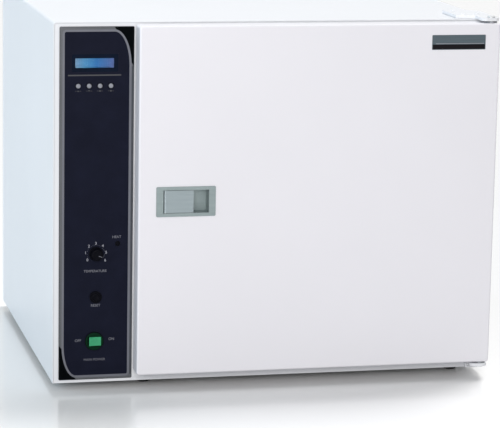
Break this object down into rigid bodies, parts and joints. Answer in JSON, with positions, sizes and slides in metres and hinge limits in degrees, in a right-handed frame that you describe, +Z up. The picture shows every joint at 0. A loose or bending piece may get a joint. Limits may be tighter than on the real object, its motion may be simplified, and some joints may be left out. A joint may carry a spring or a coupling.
{
  "type": "dry heat sterilizer",
  "caption": "Bench dry heat sterilizer: a heated shelved chamber behind a right-hinged door with a flush paddle latch, beside a control column.",
  "frame": {"origin": "middle of the whole instrument's footprint, on the surface it stands on", "axes": "+X to the right of a person at the door, -Y towards that person, +Z up"},
  "size_m": [0.732, 0.6694, 0.6096],
  "materials": {
    "white_paint": "smooth satin powder coat, cool white",
    "panel_black": "near-black blue printed overlay on a thin plate",
    "stainless": "satin stainless sheet and rod",
    "galvanised": "zinc-coated sheet",
    "black_plastic": "black moulded plastic",
    "pale_key": "pale grey key caps",
    "black_rubber": "matt black rubber",
    "green_lens": "green translucent rocker, lit from behind",
    "blue_display": "blue liquid crystal display",
    "clear_pane": "clear pane",
    "silicone": "soft red silicone",
    "mineral_wool": "pressed mineral wool, hidden between the sheets",
    "circuit_board": "green circuit board with its parts",
    "cast_metal": "die-cast metal",
    "heater_tube": "heat-tinted sheathed heating tube"
  },
  "bodies": {
    "cabinet": {"cabinet_wrap": "white_paint", "front_frame": "white_paint", "back_panel": "white_paint", "base_pan": "galvanised", "foot_front_left": "black_rubber", "foot_front_right": "black_rubber", "foot_back_left": "black_rubber", "foot_back_right": "black_rubber", "bay_partition": "galvanised", "chamber_insulation": "mineral_wool", "insulation_cover": "galvanised", "fan_motor": "cast_metal", "vent_duct": "stainless", "vent_cap": "stainless", "power_inlet": "black_plastic", "fuse_holder": "black_plastic", "drive_board": "circuit_board", "hinge_plate_top": "white_paint", "hinge_bracket_lower": "white_paint", "hinge_pin_top": "stainless", "hinge_pin_lower": "stainless", "strike_plate": "stainless", "chamber_liner": "stainless", "rack_left": "stainless", "rack_right": "stainless", "shelf_lower": "stainless", "shelf_upper": "stainless", "air_baffle": "stainless", "heater_element": "heater_tube", "temperature_probe": "stainless", "control_plate": "panel_black", "display_window": "clear_pane", "lcd_display": "blue_display", "display_board": "circuit_board", "indicator_lamp": "black_plastic", "safety_thermostat": "black_plastic", "reset_switch": "black_plastic", "rocker_frame": "black_plastic"},
    "door": {"door_skin": "white_paint", "door_inner_panel": "stainless", "door_insulation": "mineral_wool", "door_gasket": "silicone", "hinge_bush_top": "cast_metal", "hinge_bush_lower": "cast_metal", "latch_housing": "stainless", "paddle_pin": "stainless"},
    "paddle": {"latch_paddle": "stainless"},
    "bolt": {"latch_bolt": "cast_metal"},
    "knob": {"thermostat_knob": "black_plastic", "knob_shaft": "stainless"},
    "rocker": {"power_rocker": "green_lens"},
    "reset_cap": {"reset_button": "black_plastic"},
    "first_key": {"key_1": "pale_key"},
    "second_key": {"key_2": "pale_key"},
    "third_key": {"key_3": "pale_key"},
    "fourth_key": {"key_4": "pale_key"},
    "fan": {"fan_impeller": "cast_metal", "fan_shaft": "stainless"}
  },
  "joints": [
    {"name": "door_hinge", "type": "hinge", "parent": "cabinet", "child": "door", "pos_m": [0.354, -0.31885, 0.3], "axis": [0, 0, 1], "range_deg": [0, 110]},
    {"name": "paddle_pivot", "type": "hinge", "parent": "door", "child": "paddle", "pos_m": [-0.1895, -0.33115, 0.3155], "axis": [0, 0, -1], "range_deg": [0, 35], "stiffness_Nm_per_rad": 0.4, "springref_deg": -8.59},
    {"name": "bolt_slide", "type": "slide", "parent": "door", "child": "bolt", "axis": [1, 0, 0], "range_m": [0, 0.0062]},
    {"name": "knob_turn", "type": "hinge", "parent": "cabinet", "child": "knob", "pos_m": [-0.29625, -0.3, 0.226], "axis": [0, 1, 0], "range_deg": [-262, 38]},
    {"name": "rocker_tilt", "type": "hinge", "parent": "cabinet", "child": "rocker", "pos_m": [-0.29825, -0.29505, 0.081], "axis": [0, 0, -1], "range_deg": [0, 14]},
    {"name": "reset_press", "type": "slide", "parent": "cabinet", "child": "reset_cap", "axis": [0, 1, 0], "range_m": [0, 0.0025], "stiffness_N_per_m": 400, "springref_m": -0.002},
    {"name": "first_key_press", "type": "slide", "parent": "cabinet", "child": "first_key", "axis": [0, 1, 0], "range_m": [0, 0.0008], "stiffness_N_per_m": 800, "springref_m": -0.0005},
    {"name": "second_key_press", "type": "slide", "parent": "cabinet", "child": "second_key", "axis": [0, 1, 0], "range_m": [0, 0.0008], "stiffness_N_per_m": 800, "springref_m": -0.0005},
    {"name": "third_key_press", "type": "slide", "parent": "cabinet", "child": "third_key", "axis": [0, 1, 0], "range_m": [0, 0.0008], "stiffness_N_per_m": 800, "springref_m": -0.0005},
    {"name": "fourth_key_press", "type": "slide", "parent": "cabinet", "child": "fourth_key", "axis": [0, 1, 0], "range_m": [0, 0.0008], "stiffness_N_per_m": 800, "springref_m": -0.0005},
    {"name": "fan_spin", "type": "hinge", "parent": "cabinet", "child": "fan", "pos_m": [0.066, 0.135, 0.314], "axis": [0, 1, 0], "continuous": true}
  ],
  "couplings": [
    {"joint": "bolt_slide", "follows": "paddle_pivot", "m_per_rad": 0.01}
  ]
}
